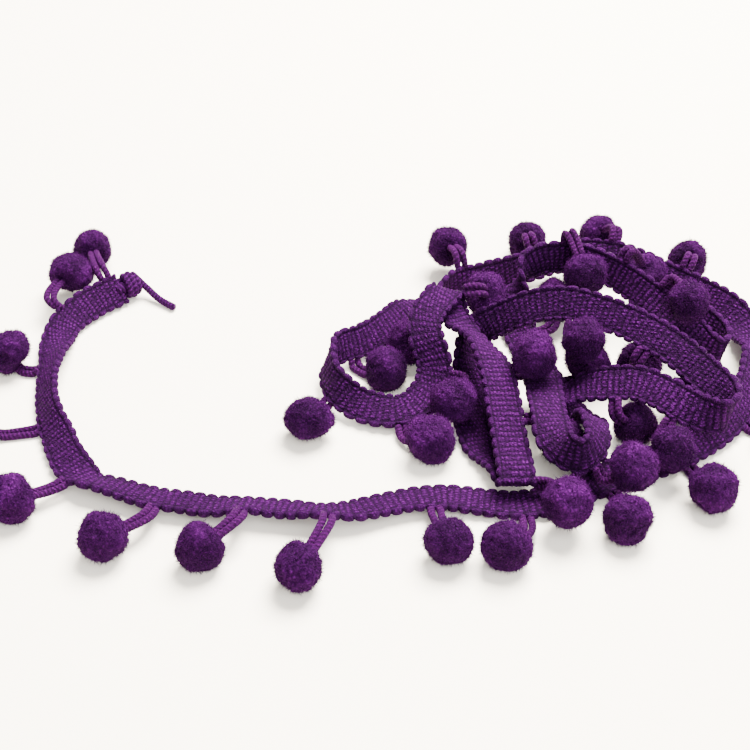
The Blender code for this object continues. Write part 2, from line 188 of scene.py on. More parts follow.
ARCH = (
    Bend(28.6, 9.2, 9.0, 292, -60),
    Bend(32.2, 8.8, 11.6, 276, -54),
    Bend(37.0, 7.6, 15.2, 270, -48),
    Bend(43.5, 6.4, 18.8, 270, -44),
    Bend(51.0, 4.6, 20.6, 264, -46),
    Bend(59.5, 0.8, 20.4, 246, -46),
    Bend(69.0, -4.4, 19.2, 230, -42),
    Bend(77.0, -12.0, 18.0, 218, -38),
    Bend(83.0, -20.8, 16.8, 212, -42),
    Bend(86.5, -27.4, 16.4, 200, -54),
    Bend(87.2, -32.0, 16.0, 190, -72),
)

SHELF = (
    Bend(84.8, -35.0, 15.6, 220, -76),
    Bend(80.8, -34.2, 15.4, 236, -60),
    Bend(76.5, -31.4, 15.6, 236, -44),
    Bend(71.8, -27.0, 16.0, 238, -38),
    Bend(66.0, -22.8, 15.8, 250, -38),
    Bend(59.5, -20.2, 13.8, 258, -34),
    Bend(53.5, -17.8, 10.6, 264, -12),
    Bend(49.0, -17.2, 7.4, 250, 0),
    Bend(45.8, -14.8, 6.1, 215, 0),
    Bend(44.4, -12.2, 5.7, 190, 0),
    Bend(43.6, -9.6, 6.5, 182, 0),
)

FRONT_LOOP = (
    Bend(43.4, -10.6, 9.0, 182, 0),
    Bend(43.2, -16.0, 10.4, 182, -2),
    Bend(42.9, -22.2, 11.9, 182, 2),
    Bend(42.8, -28.6, 13.2, 182, 4),
    Bend(42.9, -35.0, 13.8, 186, 0),
    Bend(43.4, -40.4, 13.4, 204, -26),
    Bend(45.5, -44.6, 13.0, 236, -62),
    Bend(49.2, -46.6, 12.8, 280, -72),
    Bend(52.6, -43.4, 13.0, 326, -62),
    Bend(53.9, -37.6, 13.2, 346, -40),
    Bend(54.0, -31.6, 11.2, 4, -42),
    Bend(54.0, -27.0, 7.6, 10, -28),
)

UNDERPASS = (
    Bend(53.6, -23.0, 3.6, 14, -8),
    Bend(51.6, -18.6, 1.7, 15, 0),
    Bend(49.6, -13.6, 1.3, 15, 0),
    Bend(47.0, -7.0, 1.3, 14, 0),
    Bend(44.0, 3.0, 1.3, 12, 0),
    Bend(41.5, 12.0, 1.6, 10, 6),
    Bend(40.0, 18.5, 3.6, 10, 22),
    Bend(39.6, 23.5, 6.8, 14, 46),
)

BACK_RING = (
    Bend(40.2, 27.6, 10.8, 24, 64),
    Bend(42.6, 31.0, 14.0, 45, 74),
    Bend(47.4, 32.8, 15.8, 75, 74),
    Bend(53.0, 32.8, 16.2, 88, 74),
    Bend(59.5, 31.0, 16.2, 72, 74),
    Bend(65.5, 27.5, 15.4, 60, 70),
    Bend(71.0, 23.0, 14.0, 52, 62),
    Bend(75.5, 18.8, 12.4, 48, 50),
)

END_RUN = (
    Bend(79.5, 15.2, 10.6, 50, 34),
    Bend(83.0, 11.8, 9.0, 52, 30),
    Bend(86.5, 8.2, 7.6, 50, 44),
    Bend(89.6, 4.2, 6.4, 46, 66),
    Bend(92.4, 2.2, 6.0, 20, 80),
    Bend(94.4, 5.4, 6.0, 350, 76),
    Bend(93.6, 10.4, 6.4, 15, 70),
    Bend(90.4, 15.0, 7.0, 35, 64),
    Bend(86.4, 19.0, 7.4, 45, 60),
)

ROUTE = (
    TAIL + LEFT_RUN + FRONT_RUN + PANEL + BACK_RUN + LEFT_LOOP + FIRST_RISE + FRONT_STRAP
    + UNDER_STRAP + ARCH + SHELF + FRONT_LOOP + UNDERPASS + BACK_RING + END_RUN
)


class Hang(NamedTuple):
    """Where a pompom hangs: its loop's place along the tape, and its ball's middle, in mm."""

    station: float
    x: float
    y: float
    z: float


HANGS = (
    Hang(3, -84.0, 52.0, 5.7),
    Hang(18, -87.5, 37.0, 8.0),
    Hang(39, -98.5, 3.0, 5.7),
    Hang(63, -102.0, -27.0, 5.7),
    Hang(86, -86.5, -53.5, 5.7),
    Hang(108, -62.5, -66.0, 5.7),
    Hang(129, -40.0, -69.5, 5.7),
    Hang(149, -17.0, -75.5, 5.7),
    Hang(175, 17.0, -67.5, 5.7),
    Hang(197, 30.0, -69.0, 5.7),
    Hang(219, 59.0, -60.5, 5.7),
    Hang(241, 81.0, -50.0, 5.7),
    Hang(263, 103.0, -28.0, 5.7),
    Hang(284, 112.0, -7.0, 5.7),
    Hang(303, 114.5, 17.5, 5.7),
    Hang(325, 92.0, 46.5, 5.7),
    Hang(347, 67.5, 60.0, 5.7),
    Hang(370, 45.5, 57.0, 5.7),
    Hang(393, 21.5, 49.0, 9.0),
    Hang(415, 9.5, 7.5, 5.7),
    Hang(437, 3.0, -4.5, 5.7),
    Hang(459, -17.0, -24.5, 5.7),
    Hang(477, 14.0, -32.5, 5.7),
    Hang(492, 20.0, -21.0, 9.0),
    Hang(522, 30.5, 20.5, 12.0),
    Hang(569.6, 47.0, -34.0, 5.7),
    Hang(589, 45.0, -58.0, 8.5),
    Hang(680.6, 53.5, -9.5, 19.5),
    Hang(702.6, 70.0, -4.0, 7.0),
    Hang(724.6, 79.0, -18.0, 6.5),
    Hang(747.6, 72.5, -40.5, 10.0),
    Hang(765.6, 66.0, -26.0, 5.2),
    Hang(793.6, 40.5, -14.5, 18.0),
    Hang(835.6, 61.5, -48.5, 11.0),
    Hang(879.6, 56.5, -3.0, 6.5),
    Hang(901, 50.5, 26.0, 5.7),
    Hang(934.6, 58.0, 23.0, 17.0),
    Hang(949.6, 77.0, 32.0, 10.5),
    Hang(962.6, 84.0, 9.0, 18.0),
)

# The knot's loose cord, from the knot to its free end on the floor, in mm
LOOSE_CORD = ((-66.5, 36.5, 3.4), (-62.5, 33.0, 1.7), (-57.3, 29.1, 1.2))


class Place(NamedTuple):
    """A place on the tape: its middle, and the unit ways along it, to its edge and off its face."""

    middle: Vector
    along: Vector
    edge: Vector
    face: Vector


def edge_direction(bend: Bend) -> Vector:
    """Find which way the pompom edge points at a bend.

    Args:
        bend: The bend, with its heading and rise in degrees.

    Returns:
        The unit vector towards the pompom edge.
    """
    heading = math.radians(bend.heading)
    rise = math.radians(bend.rise)
    flat = math.cos(rise)
    return Vector((math.cos(heading) * flat, math.sin(heading) * flat, math.sin(rise)))


def slopes(points: list[Vector], spans: list[float]) -> list[Vector]:
    """Find how a smooth curve leaves each of its points.

    Args:
        points: The points that the curve passes through.
        spans: The distances between them.

    Returns:
        The slope at each point.
    """
    inner = []
    for i in range(1, len(points) - 1):
        before = (points[i] - points[i - 1]) / spans[i - 1]
        after = (points[i + 1] - points[i]) / spans[i]
        inner.append((before * spans[i] + after * spans[i - 1]) / (spans[i] + spans[i - 1]))
    first = (points[1] - points[0]) / spans[0]
    last = (points[-1] - points[-2]) / spans[-1]
    return [first] + inner + [last]


def blend(
    start: Vector, end: Vector, start_slope: Vector, end_slope: Vector, span: float, share: float
) -> Vector:
    """Find a point on one smooth span.

    Args:
        start: The span's first point.
        end: The span's last point.
        start_slope: The slope at its start.
        end_slope: The slope at its end.
        span: The distance between the two points.
        share: How far along the span the point is, from 0 to 1.

    Returns:
        The point.
    """
    rest = 1.0 - share
    near = start * ((1.0 + 2.0 * share) * rest * rest) + start_slope * (span * share * rest * rest)
    far = end * (share * share * (3.0 - 2.0 * share)) - end_slope * (span * share * share * rest)
    return near + far


@dataclass
class TapeRoute:
    """The line that the tape's middle follows, read by the distance along it."""

    bends: tuple[Bend, ...]
    samples_per_bend: int = 40
    middles: list[Vector] = field(default_factory=list)
    edges: list[Vector] = field(default_factory=list)
    distances: list[float] = field(default_factory=list)

    def __post_init__(self) -> None:
        """Sample the smooth curve through the bends."""
        points = [Vector((b.x, b.y, b.z)) * MM + SHIFT for b in self.bends]
        edges = [edge_direction(b) for b in self.bends]
        spans = [(b - a).length for a, b in zip(points, points[1:])]
        point_slopes = slopes(points, spans)
        edge_slopes = slopes(edges, spans)
        for i, span in enumerate(spans):
            for k in range(self.samples_per_bend):
                share = k / self.samples_per_bend
                ends = points[i : i + 2] + point_slopes[i : i + 2]
                turns = edges[i : i + 2] + edge_slopes[i : i + 2]
                self.middles.append(blend(*ends, span, share))
                self.edges.append(blend(*turns, span, share))
        self.middles.append(points[-1])
        self.edges.append(edges[-1])
        self.distances.append(0.0)
        for a, b in zip(self.middles, self.middles[1:]):
            self.distances.append(self.distances[-1] + (b - a).length)

    @property
    def length(self) -> float:
        """Return the tape's whole length in metres."""
        return self.distances[-1]

    def place(self, distance: float) -> Place:
        """Find the tape's place at a distance from its knotted end.

        Args:
            distance: The distance along the tape in metres.

        Returns:
            The place there.
        """
        low, high = 0, len(self.distances) - 2
        while low < high:
            half = (low + high + 1) // 2
            if self.distances[half] <= distance:
                low = half
            else:
                high = half - 1
        span = self.distances[low + 1] - self.distances[low]
        share = (distance - self.distances[low]) / span
        middle = self.middles[low].lerp(self.middles[low + 1], share)
        along = (self.middles[low + 1] - self.middles[low]).normalized()
        edge = self.edges[low].lerp(self.edges[low + 1], share)
        edge = (edge - along * edge.dot(along)).normalized()
        return Place(middle, along, edge, along.cross(edge))


def linear(colour: str) -> tuple[float, float, float, float]:
    """Turn an sRGB hex value to the linear colour that a shader takes.

    Args:
        colour: The colour as six hex digits.

    Returns:
        The linear red, green, blue and alpha.
    """
    parts = []
    for start in (0, 2, 4):
        value = int(colour[start : start + 2], 16) / 255.0
        parts.append(value / 12.92 if value <= 0.04045 else ((value + 0.055) / 1.055) ** 2.4)
    return (parts[0], parts[1], parts[2], 1.0)


def add_node(tree: bpy.types.NodeTree, kind: str, settings: dict, links: dict) -> bpy.types.Node:
    """Add a node to a material.

    Args:
        tree: The material's node tree.
        kind: The node's type.
        settings: Values by name, for the node's own properties and for its inputs.
        links: The sockets to join to its inputs, by the input's name or number.

    Returns:
        The new node.
    """
    node = tree.nodes.new(kind)
    for name, value in settings.items():
        if isinstance(name, str) and name in node.bl_rna.properties:
            setattr(node, name, value)
        else:
            node.inputs[name].default_value = value
    for name, socket in links.items():
        tree.links.new(socket, node.inputs[name])
    return node


@dataclass(frozen=True)
class YarnFinish:
    """Dyed polyester yarn: matt, with a soft sheen off the fibres and painted shade between the stitches.

    The depth attribute, 0 in the gaps and 1 on the crowns, is painted when the mesh is made; the colour
    runs from painted shade where it is low to painted light where it is high.
    """

    name: str
    # the ramp's colours: painted shade in the gaps, the middle tone, and painted light on the crowns
    shade_colour: str
    middle: str
    lit: str
    strand: float
    stitch: float
    patch: float
    bump: float
    sheen: float
    roughness: float = 0.86
    ior: float = 1.46
    specular: float = 0.04
    sheen_roughness: float = 0.42
    sheen_tint: str = "A83CC4"
    strand_weight: float = 0.9
    gap_weight: float = 1.1
    patch_weight: float = 0.35
    darkest_tone: float = 0.6
    lightest_tone: float = 2.1
    gap_relief: float = 1.4
    relief_height: float = 0.35 * MM

    def make(self) -> bpy.types.Material:
        """Build the material.

        Returns:
            The finished material.
        """
        made = bpy.data.materials.new(self.name)
        made.use_nodes = True
        tree = made.node_tree
        shader = tree.nodes["Principled BSDF"]
        shader.inputs["Roughness"].default_value = self.roughness
        shader.inputs["IOR"].default_value = self.ior
        shader.inputs["Specular IOR Level"].default_value = self.specular
        shader.inputs["Sheen Weight"].default_value = self.sheen
        shader.inputs["Sheen Roughness"].default_value = self.sheen_roughness
        shader.inputs["Sheen Tint"].default_value = linear(self.sheen_tint)

        where = add_node(tree, "ShaderNodeTexCoord", {}, {})
        place = where.outputs["Object"]
        depth = add_node(tree, "ShaderNodeAttribute", {"attribute_name": "depth"}, {})
        # strands of fibre, drawn 0.4 to 0.5 mm wide, which is coarser than real, so that they show
        strand = add_node(
            tree, "ShaderNodeTexNoise", {"Scale": 1.0 / self.strand, "Detail": 3.0}, {"Vector": place}
        )
        # slow change of the dye along the trim
        patch = add_node(
            tree, "ShaderNodeTexNoise", {"Scale": 1.0 / self.patch, "Detail": 2.0}, {"Vector": place}
        )
        # the small loops that the yarn makes at the surface, with painted shade in the gaps between them
        cells = {"feature": "DISTANCE_TO_EDGE", "Scale": 1.0 / self.stitch}
        gaps = add_node(tree, "ShaderNodeTexVoronoi", cells, {"Vector": place})
        # the tone adds painted shade in the gaps and painted light on the crowns to the strands and the
        # dye patches
        tone = self.add_up(tree, strand.outputs["Fac"], self.strand_weight, depth.outputs["Fac"])
        tone = self.add_up(tree, gaps.outputs["Distance"], self.gap_weight, tone)
        tone = self.add_up(tree, patch.outputs["Fac"], self.patch_weight, tone)
        tones = {"From Min": self.darkest_tone, "From Max": self.lightest_tone}
        stretch = add_node(tree, "ShaderNodeMapRange", tones, {"Value": tone})
        ramp = add_node(tree, "ShaderNodeValToRGB", {}, {"Fac": stretch.outputs["Result"]})
        stops = ramp.color_ramp.elements
        stops[0].color = linear(self.shade_colour)
        stops[1].color = linear(self.lit)
        stops.new(0.5).color = linear(self.middle)
        tree.links.new(ramp.outputs["Color"], shader.inputs["Base Color"])

        relief = self.add_up(tree, gaps.outputs["Distance"], self.gap_relief, strand.outputs["Fac"])
        bumps = {"Strength": self.bump, "Distance": self.relief_height}
        fuzz = add_node(tree, "ShaderNodeBump", bumps, {"Height": relief})
        tree.links.new(fuzz.outputs["Normal"], shader.inputs["Normal"])
        return made

    def add_up(
        self,
        tree: bpy.types.NodeTree,
        pattern: bpy.types.NodeSocket,
        weight: float,
        before: bpy.types.NodeSocket,
    ) -> bpy.types.NodeSocket:
        """Add a weighted pattern to what is there before it.

        Args:
            tree: The material's node tree.
            pattern: The socket of the pattern to add.
            weight: How much of the pattern is added.
            before: The socket that it is added to.

        Returns:
            The socket of the sum.
        """
        total = add_node(
            tree, "ShaderNodeMath", {"operation": "MULTIPLY_ADD", 1: weight}, {0: pattern, 2: before}
        )
        return total.outputs["Value"]


KNIT_YARN = YarnFinish(
    name="knitted_polyester_yarn", shade_colour="0A010F", middle="21032A", lit="460D55",
    strand=0.42 * MM, stitch=0.75 * MM, patch=14.0 * MM, bump=1.0, sheen=0.04,
)
BRUSHED_PILE = YarnFinish(
    name="brushed_pompom_pile", shade_colour="0E0114", middle="290433", lit="510E62",
    strand=0.5 * MM, stitch=0.85 * MM, patch=5.0 * MM, bump=0.9, sheen=0.10,
)
LOOP_YARN = YarnFinish(
    name="twisted_loop_cord", shade_colour="0E0114", middle="25042C", lit="460E51",
    strand=0.4 * MM, stitch=0.7 * MM, patch=6.0 * MM, bump=0.9, sheen=0.06,
)


@dataclass(frozen=True)
class FloorFinish:
    """Matt white board with a faint warm cast and a very slight glow, as in the overexposed photo."""

    name: str = "matt_white_board"
    colour: str = "F8F2E6"
    roughness: float = 0.8
    specular: float = 0.15
    glow_colour: str = "FFFCF6"
    glow: float = 0.05

    def make(self) -> bpy.types.Material:
        """Build the material.

        Returns:
            The finished material.
        """
        made = bpy.data.materials.new(self.name)
        made.use_nodes = True
        shader = made.node_tree.nodes["Principled BSDF"]
        shader.inputs["Base Color"].default_value = linear(self.colour)
        shader.inputs["Roughness"].default_value = self.roughness
        shader.inputs["Specular IOR Level"].default_value = self.specular
        shader.inputs["Emission Color"].default_value = linear(self.glow_colour)
        shader.inputs["Emission Strength"].default_value = self.glow
        return made


def paint_depth(mesh: bpy.types.Mesh, depth: np.ndarray) -> None:
    """Paint the depth on a mesh's points, and shade it smooth.

    Args:
        mesh: The mesh.
        depth: How far each point stands proud, from 0 to 1; the finishes paint shade where it is low and
            light where it is high.
    """
    shade = mesh.attributes.new("depth", "FLOAT", "POINT")
    shade.data.foreach_set("value", depth.astype(np.float32))
    mesh.polygons.foreach_set("use_smooth", [True] * len(mesh.polygons))
    mesh.update()


def read_points(mesh: bpy.types.Mesh) -> np.ndarray:
    """Read a mesh's points.

    Args:
        mesh: The mesh.

    Returns:
        Its points as rows.
    """
    points = np.empty(len(mesh.vertices) * 3)
    mesh.vertices.foreach_get("co", points)
    return points.reshape(-1, 3)


def new_piece(
    name: str, points: np.ndarray, faces: list, depth: np.ndarray, material: bpy.types.Material
) -> bpy.types.Object:
    """Make an object of one mesh, with its depth painted on its points.

    Args:
        name: The piece's name.
        points: Its points in metres.
        faces: Its faces, as rows of point numbers.
        depth: How far each point stands proud, from 0 to 1; the finishes paint shade where it is low and
            light where it is high.
        material: Its finish.

    Returns:
        The new object, smooth shaded.
    """
    mesh = bpy.data.meshes.new(name)
    mesh.from_pydata(points.tolist(), [], faces)
    mesh.materials.append(material)
    paint_depth(mesh, depth)
    made = bpy.data.objects.new(name, mesh)
    bpy.context.scene.collection.objects.link(made)
    return made


def smooth_rows(rows: np.ndarray, reach: int) -> np.ndarray:
    """Average each row with its neighbours.

    Args:
        rows: The rows, one for each place.
        reach: How many rows on each side are taken in.

    Returns:
        The smoothed rows, as many as before.
    """
    padded = np.concatenate([rows[:1]] * reach + [rows] + [rows[-1:]] * reach)
    total = np.zeros_like(rows)
    for k in range(2 * reach + 1):
        total += padded[k : k + len(rows)]
    return total / (2 * reach + 1)


def unit(rows: np.ndarray) -> np.ndarray:
    """Return the rows, each scaled to a length of one."""
    return rows / np.linalg.norm(rows, axis=1, keepdims=True)


def close_outwards(piece: bpy.types.Object) -> None:
    """Turn a closed piece's faces outwards.

    Args:
        piece: The piece, with a mesh of its own.
    """
    work = bmesh.new()
    work.from_mesh(piece.data)
    bmesh.ops.recalc_face_normals(work, faces=work.faces)
    work.to_mesh(piece.data)
    work.free()


class TapeFace(Enum):
    """The two looks of the knitted tape's faces."""

    RIBBED = 1
    DOTTED = -1


# The round of an edge stitch: shares of its reach past the field, and of its thickness
EDGE_ROUND = (
    (0.3, 0.9), (0.62, 1.0), (0.9, 0.62), (1.0, 0.0), (0.9, -0.62), (0.62, -1.0), (0.3, -0.9)
)


@dataclass
class KnittedTape:
    """The tape: ribs across it, a face of knit dots, and a row of fat stitches on each edge."""

    route: TapeRoute
    width: float = 10.0 * MM
    rib_pitch: float = 1.5 * MM
    steps_per_rib: int = 3
    columns: int = 7
    field_half: float = 3.4 * MM
    ground: float = 0.58 * MM
    rib_height: float = 0.30 * MM
    rib_valley: float = 0.45
    rib_dip: float = -0.5
    dot_height: float = 0.30 * MM
    dot_valley: float = 0.2
    dot_dip: float = -0.2
    least_stitch: float = 0.55
    most_stitch: float = 1.25
    edge_thick: float = 1.0 * MM
    edge_inset: float = 0.15 * MM
    edge_play: float = 0.14 * MM
    edge_fullness: float = 0.45
    edge_depth: float = 0.6
    notch_thick: float = 0.5 * MM
    notch_depth: float = 0.8 * MM
    groove_depth: float = 0.12 * MM
    roughness: float = 0.05 * MM
    slip: float = 0.13 * MM
    rings_smoothed: int = 3
    seed: int = 7
    slip_seed: int = 12

    def rings(self) -> int:
        """Return how many steps the tape is cut into, in whole scallops."""
        scallops = round(self.route.length / (2.0 * self.rib_pitch))
        return scallops * 2 * self.steps_per_rib

    def field_heights(self, face: TapeFace, count: int) -> tuple[np.ndarray, np.ndarray]:
        """Work out the relief of one face between the edge stitches.

        Args:
            face: Which of the two looks it has.
            count: The number of steps along the tape.

        Returns:
            The offsets across the tape, and the height at each ring and offset, in metres.
        """
        dice = np.random.RandomState(self.seed + face.value)
        samples = 2 * self.columns + 1
        offsets = np.linspace(-self.field_half, self.field_half, samples)
        ring = np.arange(count + 1)
        rib = ring // self.steps_per_rib
        in_dip = (ring % self.steps_per_rib == 0)[:, None]
        column = np.arange(samples)
        ribs_total = int(rib.max()) + 1
        stitch = dice.uniform(self.least_stitch, self.most_stitch, (ribs_total, self.columns + 1))
        own = stitch[rib][:, np.minimum(column // 2, self.columns)]
        if face is TapeFace.RIBBED:
            crown = np.where(column % 2 == 1, 1.0, self.rib_valley)[None, :]
            rise = self.rib_height * own * crown * np.where(in_dip, self.rib_dip, 1.0)
        else:
            on_dot = (column[None, :] % 2) == (1 - rib[:, None] % 2)
            crown = np.where(on_dot, 1.0, self.dot_valley)
            rise = self.dot_height * own * crown * np.where(in_dip, self.dot_dip, 1.0)
        groove = (column == 0) | (column == samples - 1)
        height = np.where(groove[None, :], self.ground - self.groove_depth, self.ground + rise)
        return offsets, height + dice.normal(0.0, self.roughness, height.shape)

    def edge_shape(self, count: int) -> tuple[np.ndarray, np.ndarray]:
        """Work out the fat stitches along an edge, one each three millimetres.

        Args:
            count: The number of steps along the tape.

        Returns:
            How far the edge reaches from the middle, and half its thickness, at each ring.
        """
        per_scallop = 2 * self.steps_per_rib
        # 1 on a stitch's crown and 0 in the notch, which stands half a scallop from the start
        phase = (np.arange(count + 1) % per_scallop) / per_scallop
        crown = np.abs(np.cos(math.pi * phase)) ** self.edge_fullness
        dice = np.random.RandomState(self.seed)
        scallop = (np.arange(count + 1) + self.steps_per_rib) // per_scallop
        own = dice.uniform(-self.edge_play, self.edge_play, int(scallop.max()) + 1)[scallop]
        reach = self.width / 2.0 - self.edge_inset + own - self.notch_depth * (1.0 - crown)
        thick = self.notch_thick + (self.edge_thick - self.notch_thick) * crown
        return reach, thick

    def section(self, count: int) -> tuple[np.ndarray, np.ndarray, np.ndarray]:
        """Work out the tape's cross-section at every ring, right round it.

        Args:
            count: The number of steps along the tape.

        Returns:
            The offsets across, the heights off the middle, and the depths, ring by ring.
        """
        offsets, ribbed = self.field_heights(TapeFace.RIBBED, count)
        _, dotted = self.field_heights(TapeFace.DOTTED, count)
        reach, thick = self.edge_shape(count)
        ring = [(np.full(count + 1, offset), ribbed[:, i]) for i, offset in enumerate(offsets)]
        past = reach - self.field_half
        rim = [(self.field_half + past * out, thick * up) for out, up in EDGE_ROUND]
        ring += rim
        for i, offset in reversed(list(enumerate(offsets))):
            ring.append((np.full(count + 1, offset), -dotted[:, i]))
        ring += [(-across, -high) for across, high in rim]
        across = np.stack([a for a, _ in ring], axis=1)
        high = np.stack([h for _, h in ring], axis=1)

        # the depth sets painted shade, dark in the rib dips, the grooves and the edge notches, and painted
        # light on the crowns
        depth = np.clip((np.abs(high) - self.ground) / self.rib_height, 0.0, 1.0)
        stitch = np.clip((thick - self.notch_thick) / (self.edge_thick - self.notch_thick), 0.0, 1.0)
        first_rim = len(offsets)
        for start in (first_rim, 2 * len(offsets) + len(rim)):
            depth[:, start : start + len(rim)] = stitch[:, None] * self.edge_depth
        return across, high, depth

    def build(self, material: bpy.types.Material) -> bpy.types.Object:
        """Knit the tape along its route.

        Args:
            material: The yarn's finish.

        Returns:
            The tape as one closed piece.
        """
        count = self.rings()
        places = [self.route.place(i * self.route.length / count) for i in range(count + 1)]
        middles = np.array([p.middle for p in places])
        along = unit(smooth_rows(np.array([p.along for p in places]), self.rings_smoothed))
        edges = smooth_rows(np.array([p.edge for p in places]), self.rings_smoothed)
        edges = unit(edges - along * (edges * along).sum(axis=1, keepdims=True))
        faces_out = np.cross(along, edges)
        across, high, depth = self.section(count)
        size = across.shape[1]
        # the stitches slip a little along the tape, so that no two rows lie quite straight
        dice = np.random.RandomState(self.slip_seed)
        rows = dice.normal(0.0, self.slip, (count // self.steps_per_rib + 1, size))
        slipped = rows[np.arange(count + 1) // self.steps_per_rib]
        slipped[[0, -1]] = 0.0
        points = (
            middles[:, None, :]
            + edges[:, None, :] * across[:, :, None]
            + faces_out[:, None, :] * high[:, :, None]
            + along[:, None, :] * slipped[:, :, None]
        )
        faces = []
        for i in range(count):
            a = i * size
            b = a + size
            for k in range(size):
                after = (k + 1) % size
                faces.append((a + k, b + k, b + after, a + after))
        faces.append(tuple(range(size)))
        faces.append(tuple(count * size + k for k in reversed(range(size))))

        made = new_piece("tape_knit", points.reshape(-1, 3), faces, depth.reshape(-1), material)
        close_outwards(made)
        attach(made, BODY)
        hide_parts("tape")
        return made


class CordMesh(NamedTuple):
    """A swept cord: its points, its faces and the depth at each point."""

    points: np.ndarray
    faces: list
    depth: np.ndarray


def gather(name: str, cords: list[CordMesh], material: bpy.types.Material) -> bpy.types.Object:
    """Put swept cords together in one object.

    Args:
        name: The object's name.
        cords: The cords.
        material: Their finish.

    Returns:
        The new object.
    """
    faces = []
    base = 0
    for cord in cords:
        faces += [tuple(base + k for k in row) for row in cord.faces]
        base += len(cord.points)
    points = np.concatenate([cord.points for cord in cords])
    depth = np.concatenate([cord.depth for cord in cords])
    return new_piece(name, points, faces, depth, material)


@dataclass
class TwistedCord:
    """A soft cord of two strands twisted together, swept along a smooth line."""

    radius: float = 0.95 * MM
    lobe: float = 0.055
    twist_pitch: float = 2.2 * MM
    sides: int = 10
    step: float = 0.5 * MM
    fewest_steps: int = 4
    samples_per_knot: int = 12
    end_taper: float = 0.55
    lowest: float = 0.02 * MM

    def line(self, knots: list[Vector]) -> np.ndarray:
        """Resample a smooth line through its knots at even steps.

        Args:
            knots: The points that the line passes through.

        Returns:
            The line's points.
        """
        spans = [(b - a).length for a, b in zip(knots, knots[1:])]
        turns = slopes(knots, spans)
        fine = []
        for i, span in enumerate(spans):
            for k in range(self.samples_per_knot):
                share = k / self.samples_per_knot
                fine.append(blend(*knots[i : i + 2], *turns[i : i + 2], span, share))
        fine = np.array([*map(tuple, fine), tuple(knots[-1])])
        gone = np.concatenate([[0.0], np.cumsum(np.linalg.norm(np.diff(fine, axis=0), axis=1))])
        count = max(self.fewest_steps, round(gone[-1] / self.step))
        even = np.linspace(0.0, gone[-1], count + 1)
        return np.stack([np.interp(even, gone, fine[:, k]) for k in range(3)], axis=1)

    def mesh(self, knots: list[Vector], turn: float) -> CordMesh:
        """Sweep the cord's lobed section along a line.

        Args:
            knots: The points that the cord passes through.
            turn: The angle at which its twist starts, in radians.

        Returns:
            The swept cord, closed at both ends.
        """
        middle = self.line(knots)
        along = unit(np.gradient(middle, axis=0))
        first = np.cross(along[0], np.array(UP))
        upright = np.linalg.norm(first) < 0.1
        if upright:
            first = np.cross(along[0], np.array((1.0, 0.0, 0.0)))
        side = [first / np.linalg.norm(first)]
        for way in along[1:]:
            carried = side[-1] - way * side[-1].dot(way)
            side.append(carried / np.linalg.norm(carried))
        side = np.array(side)
        lift = np.cross(along, side)
        gone = np.arange(len(middle)) * self.step
        angle = np.arange(self.sides) * (2.0 * math.pi / self.sides)
        twist = gone[:, None] * (2.0 * math.pi / self.twist_pitch) + turn
        lobes = np.cos(2.0 * (angle[None, :] - twist))
        from_end = np.minimum(np.arange(len(middle)), np.arange(len(middle))[::-1])
        taper = np.where(from_end == 0, self.end_taper, 1.0)[:, None]
        radius = self.radius * (1.0 - self.lobe * 0.5 + self.lobe * lobes) * taper
        points = (
            middle[:, None, :]
            + side[:, None, :] * (np.cos(angle)[None, :] * radius)[:, :, None]
            + lift[:, None, :] * (np.sin(angle)[None, :] * radius)[:, :, None]
        )
        points = points.reshape(-1, 3)
        points[:, 2] = np.maximum(points[:, 2], self.lowest)
        faces = []
        for i in range(len(middle) - 1):
            a = i * self.sides
            b = a + self.sides
            for k in range(self.sides):
                after = (k + 1) % self.sides
                faces.append((a + k, a + after, b + after, b + k))
        faces.append(tuple(reversed(range(self.sides))))
        last = (len(middle) - 1) * self.sides
        faces.append(tuple(last + k for k in range(self.sides)))
        # the depth paints shade in the groove between the two strands and light on their crowns
        return CordMesh(points, faces, (0.5 + 0.5 * lobes).reshape(-1))


